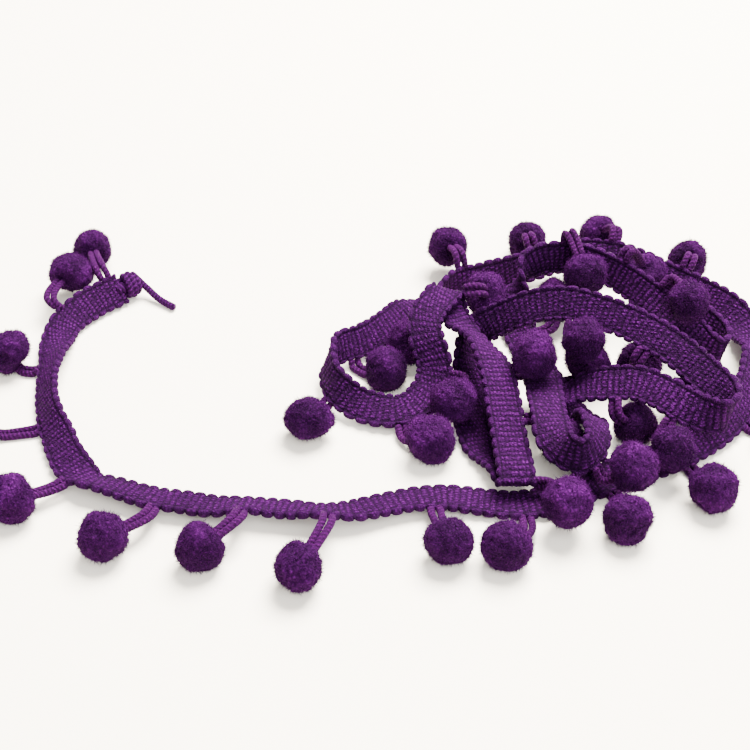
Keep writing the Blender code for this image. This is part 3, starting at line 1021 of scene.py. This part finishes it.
@dataclass
class FringePompom:
    """One fluffy ball on its two-cord loop: a lumpy core, a pile of short fibres, and the loop."""

    number: int
    hang: Hang
    route: TapeRoute
    radius: float = 5.75 * MM
    least_squeeze: float = 0.9
    most_squeeze: float = 1.06
    lump: float = 1.7 * MM
    lump_size: float = 5.0 * MM
    tuft: float = 0.95 * MM
    tuft_size: float = 0.9 * MM
    crease: float = 1.8 * MM
    crease_start: float = 0.62
    crease_curve: float = 1.5
    core_depth: float = 0.25
    core_depth_most: float = 0.6
    depth_reach: float = 1.6 * MM
    shade_start: float = 0.7
    shade_depth: float = 0.25
    floor_gap: float = 0.01 * MM
    fibres: int = 3000
    fibre_length: float = 0.72 * MM
    fibre_width: float = 0.075 * MM
    fibre_lean: float = 0.42
    fibre_sunk: float = 0.08 * MM
    least_fibre: float = 0.55
    most_fibre: float = 1.3
    stray_share: float = 0.08
    stray_length: float = 1.9
    root_depth: float = 0.25
    least_tip: float = 0.25
    most_tip: float = 1.15
    fibre_seed: int = 1000
    loop_spread: float = 1.15 * MM
    loop_slack: float = 4.0 * MM
    loop_lowest: float = 0.95 * MM
    loop_inside: float = 4.1 * MM
    loop_root: float = 6.6 * MM
    loop_steps: int = 5
    loop_narrows: float = 0.35
    loop_start_spread: float = 0.9
    loop_turn: float = 0.9
    loop_sunk: float = 0.45
    cord: TwistedCord = field(default_factory=TwistedCord)

    def core(self, centre: Vector, towards_root: Vector, material: bpy.types.Material) -> bpy.types.Object:
        """Shape the ball under its pile.

        Args:
            centre: The ball's middle.
            towards_root: The unit way to where its loop leaves the tape.
            material: The pile's finish.

        Returns:
            The ball, lumpy, creased at its loop and flat where it rests on the floor.
        """
        dice = random.Random(self.number)
        bpy.ops.object.select_all(action="DESELECT")
        bpy.ops.mesh.primitive_ico_sphere_add(subdivisions=5, radius=self.radius, location=centre)
        ball = bpy.context.active_object
        squeeze = [dice.uniform(self.least_squeeze, self.most_squeeze) for _ in range(3)]
        bpy.ops.object.mode_set(mode="EDIT")
        bpy.ops.mesh.select_all(action="SELECT")
        bpy.ops.transform.resize(value=squeeze, center_override=centre)
        bpy.ops.object.mode_set(mode="OBJECT")
        bpy.ops.object.transform_apply(location=True, rotation=True, scale=True)
        rough = (("lump", self.lump_size, self.lump), ("tuft", self.tuft_size, self.tuft))
        for kind, size, strength in rough:
            cloud = bpy.data.textures.new(f"{kind}_{self.number:02d}", "CLOUDS")
            cloud.noise_scale = size
            cloud.noise_depth = 1
            push = ball.modifiers.new(kind, "DISPLACE")
            push.texture = cloud
            push.texture_coords = "GLOBAL"
            push.strength = strength
            push.mid_level = 0.5
            bpy.ops.object.modifier_apply(modifier=kind)
        mesh = ball.data
        points = read_points(mesh)
        middle = np.array(centre)
        away = points - middle
        reach = np.linalg.norm(away, axis=1)
        facing = (away / reach[:, None]) @ np.array(towards_root)
        creased = np.clip((facing - self.crease_start) / (1.0 - self.crease_start), 0.0, 1.0)
        drawn = creased**self.crease_curve * self.crease
        points = middle + away * ((reach - drawn) / reach)[:, None]
        points[:, 2] = np.maximum(points[:, 2], self.floor_gap)
        mesh.vertices.foreach_set("co", points.reshape(-1))
        mesh.materials.append(material)
        # painted shade: the core is kept darker than the pile's tips, darker still in its hollows and on
        # the side towards the loop's crease
        proud = (reach - self.radius) / self.depth_reach
        depth = np.clip(self.core_depth + proud, 0.0, self.core_depth_most)
        shaded = np.clip((facing - self.shade_start) / (1.0 - self.shade_start), 0.0, 1.0)
        paint_depth(mesh, depth - self.shade_depth * shaded)
        return ball

    def pile(self, ball: bpy.types.Object, material: bpy.types.Material) -> bpy.types.Object:
        """Set short fibres all over the ball, each a closed three-sided spike.

        Args:
            ball: The finished core.
            material: The pile's finish.

        Returns:
            The fibres as one object.
        """
        dice = np.random.RandomState(self.fibre_seed + self.number)
        mesh = ball.data
        corners = np.empty(len(mesh.polygons) * 3, dtype=np.int64)
        mesh.polygons.foreach_get("vertices", corners)
        corners = corners.reshape(-1, 3)
        points = read_points(mesh)
        a, b, c = (points[corners[:, k]] for k in range(3))
        cross = np.cross(b - a, c - a)
        area = np.linalg.norm(cross, axis=1)
        picked = dice.choice(len(corners), self.fibres, p=area / area.sum())
        share = dice.uniform(0.0, 1.0, (self.fibres, 2))
        folded = share.sum(axis=1) > 1.0
        share[folded] = 1.0 - share[folded]
        root = a[picked] + (b - a)[picked] * share[:, :1] + (c - a)[picked] * share[:, 1:]
        out = cross[picked] / area[picked][:, None]
        way = unit(out + dice.normal(0.0, self.fibre_lean, (self.fibres, 3)))
        length = self.fibre_length * dice.uniform(self.least_fibre, self.most_fibre, self.fibres)
        stray = dice.uniform(0.0, 1.0, self.fibres) < self.stray_share
        length[stray] *= self.stray_length
        side = unit(np.cross(way, dice.normal(0.0, 1.0, (self.fibres, 3))))
        other = np.cross(way, side)
        base = root - out * self.fibre_sunk
        spikes = [root + way * length[:, None]]
        for k in range(3):
            turn = 2.0 * math.pi * k / 3.0
            spikes.append(base + (side * math.cos(turn) + other * math.sin(turn)) * self.fibre_width)
        spikes = np.stack(spikes, axis=1)
        spikes[:, :, 2] = np.maximum(spikes[:, :, 2], self.floor_gap)
        first = np.arange(self.fibres)[:, None] * 4
        pattern = np.array([[0, 1, 2], [0, 2, 3], [0, 3, 1], [1, 3, 2]])
        faces = (first[:, None, :] + pattern[None, :, :]).reshape(-1, 3)
        # painted shade at each fibre's root and painted light at its tip, scaled by a random tone for each
        # fibre
        tip = dice.uniform(self.least_tip, self.most_tip, self.fibres)
        depth = np.array([1.0] + [self.root_depth] * 3)[None, :] * tip[:, None]
        return new_piece("pile", spikes.reshape(-1, 3), faces.tolist(), depth.reshape(-1), material)

    def loop(self, place: Place, centre: Vector, material: bpy.types.Material) -> bpy.types.Object:
        """Twist the loop's two cords, from inside the tape's edge into the ball.

        Args:
            place: The place on the tape that the loop leaves.
            centre: The ball's middle.
            material: The cord's finish.

        Returns:
            The two cords as one object.
        """
        inside = place.middle + place.edge * self.loop_inside
        root = place.middle + place.edge * self.loop_root
        leave = root + place.edge * self.loop_slack
        way = (centre - root).normalized()
        spread = (place.along - way * place.along.dot(way)).normalized() * self.loop_spread
        stop = 1.0 - self.loop_sunk * self.radius / (centre - root).length
        cords = []
        for side in (-1.0, 1.0):
            knots = [inside + spread * side * self.loop_start_spread]
            for k in range(self.loop_steps + 1):
                share = stop * k / self.loop_steps
                rest = 1.0 - share
                bow = root * (rest * rest) + leave * (2.0 * rest * share) + centre * (share * share)
                knot = bow + spread * side * (1.0 - self.loop_narrows * share)
                knot.z = max(knot.z, self.loop_lowest)
                knots.append(knot)
            cords.append(self.cord.mesh(knots, self.loop_turn * side + self.number))
        return gather("loop", cords, material)

    def build(self, pile: bpy.types.Material, yarn: bpy.types.Material) -> bpy.types.Object:
        """Make the ball, its pile and its loop, and join them.

        Args:
            pile: The pile's finish.
            yarn: The loop cord's finish.

        Returns:
            The pompom as one piece, standing for its CAD node.
        """
        place = self.route.place(self.hang.station * MM)
        centre = Vector((self.hang.x, self.hang.y, self.hang.z)) * MM + SHIFT
        root = place.middle + place.edge * self.loop_root
        ball = self.core(centre, (root - centre).normalized(), pile)
        fluff = self.pile(ball, pile)
        loop = self.loop(place, centre, yarn)
        bpy.ops.object.select_all(action="DESELECT")
        for part in (ball, fluff, loop):
            part.select_set(True)
        bpy.context.view_layer.objects.active = ball
        bpy.ops.object.join()
        ball.name = f"fringe_pompom_{self.number:02d}"
        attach(ball, BODY)
        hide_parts(f"pompom_{self.number:02d}")
        return ball


@dataclass
class EndKnot:
    """The knot that ties off the tape's first end: turns of cord, and a loose end on the floor."""

    route: TapeRoute
    half_length: float = 2.1 * MM
    half_width: float = 4.0 * MM
    half_height: float = 3.2 * MM
    clearance: float = 0.75 * MM
    turns: int = 3
    points_per_turn: int = 10
    winding_share: float = 1.95
    end_narrows: float = 0.22
    loose_out: float = 2.2 * MM
    loose_back: float = 1.6 * MM
    core_inside: float = 2.0 * MM
    core_past: float = 1.5 * MM
    cord: TwistedCord = field(default_factory=lambda: TwistedCord(radius=1.05 * MM))
    core_cord: TwistedCord = field(default_factory=lambda: TwistedCord(radius=1.7 * MM, lobe=0.1))

    def winding(self, start: Place, centre: Vector) -> list[Vector]:
        """Work out the line of the cord's turns round the knot.

        Args:
            start: The tape's first end.
            centre: The knot's middle.

        Returns:
            The line's points.
        """
        reach = self.half_width - self.cord.radius
        rise = self.half_height - self.cord.radius
        last = self.turns * self.points_per_turn
        line = []
        for i in range(last + 1):
            turn = 2.0 * math.pi * i / self.points_per_turn
            slip = i / last - 0.5
            bulge = 1.0 - self.end_narrows * (2.0 * slip) ** 2
            line.append(
                centre
                - start.along * (slip * self.half_length * self.winding_share)
                + start.edge * (math.cos(turn) * reach * bulge)
                + start.face * (math.sin(turn) * rise * bulge)
            )
        return line

    def build(self, yarn: bpy.types.Material) -> bpy.types.Object:
        """Wind the knot and lay its loose end.

        Args:
            yarn: The cord's finish.

        Returns:
            The knot as one piece, standing for its CAD node.
        """
        start = self.route.place(0.0)
        centre = start.middle - start.along * (self.half_length + self.clearance)
        over = centre + start.edge * self.loose_out - start.along * self.loose_back
        loose = [centre, over] + [Vector(co) * MM + SHIFT for co in LOOSE_CORD]
        inside = start.middle + start.along * self.core_inside
        core = [inside, centre, centre - start.along * self.core_past]
        cords = [
            self.cord.mesh(self.winding(start, centre), 0.0),
            self.cord.mesh(loose, 0.0),
            self.core_cord.mesh(core, 0.0),
        ]
        made = gather("knot_winding", cords, yarn)
        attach(made, BODY)
        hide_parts("end_knot")
        return made


@dataclass(frozen=True)
class SoftLight:
    """A soft square light that faces the trim."""

    name: str
    place: tuple[float, float, float]
    side: float
    watts: float
    colour: str

    def hang(self) -> None:
        """Hang the light."""
        data = bpy.data.lights.new(self.name, "AREA")
        data.size = self.side
        data.energy = self.watts
        data.color = linear(self.colour)[:3]
        lamp = bpy.data.objects.new(self.name, data)
        lamp.location = self.place
        lamp.rotation_euler = (-Vector(self.place)).to_track_quat("-Z", "Y").to_euler()
        bpy.context.scene.collection.objects.link(lamp)


# The main light hangs at the back right, so shadows fall forward and a little to the left
LIGHTS = (
    SoftLight("soft_top", (0.20, 0.38, 0.82), 0.6, 112.0, "FFF8EE"),
    SoftLight("front_fill", (0.25, -0.66, 0.70), 0.9, 22.0, "FFFFFF"),
)


@dataclass
class Studio:
    """The pale floor, the soft light and the camera."""

    eye: Vector = field(default_factory=lambda: Vector((0.0, -287.5, 232.9)) * MM + SHIFT)
    aim: Vector = field(default_factory=lambda: SHIFT.copy())
    focal_pixels: float = 1368.0
    frame_pixels: float = 750.0
    sensor: float = 36.0
    nearest: float = 0.01
    floor_side: float = 4.0
    floor_back: float = 0.5
    room_colour: str = "FFF9F0"
    room_strength: float = 0.78

    def build(self) -> None:
        """Lay the floor, hang the lights, fill the room with light and set the camera."""
        self.lay_floor()
        for light in LIGHTS:
            light.hang()
        world = bpy.data.worlds.new("pale_room")
        bpy.context.scene.world = world
        world.use_nodes = True
        room = world.node_tree.nodes["Background"]
        room.inputs["Color"].default_value = linear(self.room_colour)
        room.inputs["Strength"].default_value = self.room_strength
        self.set_camera()

    def lay_floor(self) -> None:
        """Lay a wide flat board under the trim."""
        bpy.ops.object.select_all(action="DESELECT")
        bpy.ops.mesh.primitive_plane_add(size=self.floor_side, location=(0.0, self.floor_back, 0.0))
        floor = bpy.context.active_object
        bpy.ops.object.transform_apply(location=True)
        floor.name = "floor"
        floor.data.materials.append(FloorFinish().make())

    def set_camera(self) -> None:
        """Stand the camera where the photograph seems to have been taken from."""
        data = bpy.data.cameras.new("camera")
        data.sensor_width = self.sensor
        data.lens = self.focal_pixels / self.frame_pixels * self.sensor
        data.clip_start = self.nearest
        camera = bpy.data.objects.new("camera", data)
        camera.location = self.eye
        camera.rotation_euler = (self.aim - self.eye).to_track_quat("-Z", "Y").to_euler()
        bpy.context.scene.collection.objects.link(camera)
        bpy.context.scene.camera = camera


def report(piece: bpy.types.Object) -> None:
    """Log a finished piece by its name and its number of faces."""
    log.info("%s: %d faces", piece.name, len(piece.data.polygons))


def main() -> None:
    """Build the trim piece by piece, then the studio around it."""
    logging.basicConfig(level=logging.INFO, format="%(name)s: %(message)s")
    route = TapeRoute(ROUTE)
    log.info("route %.1f mm", route.length / MM)
    knit = KNIT_YARN.make()
    pile = BRUSHED_PILE.make()
    loop = LOOP_YARN.make()
    report(KnittedTape(route).build(knit))
    for number, hang in enumerate(HANGS, start=1):
        report(FringePompom(number, hang, route).build(pile, loop))
    report(EndKnot(route).build(knit))
    Studio().build()


if __name__ == "__main__":
    main()
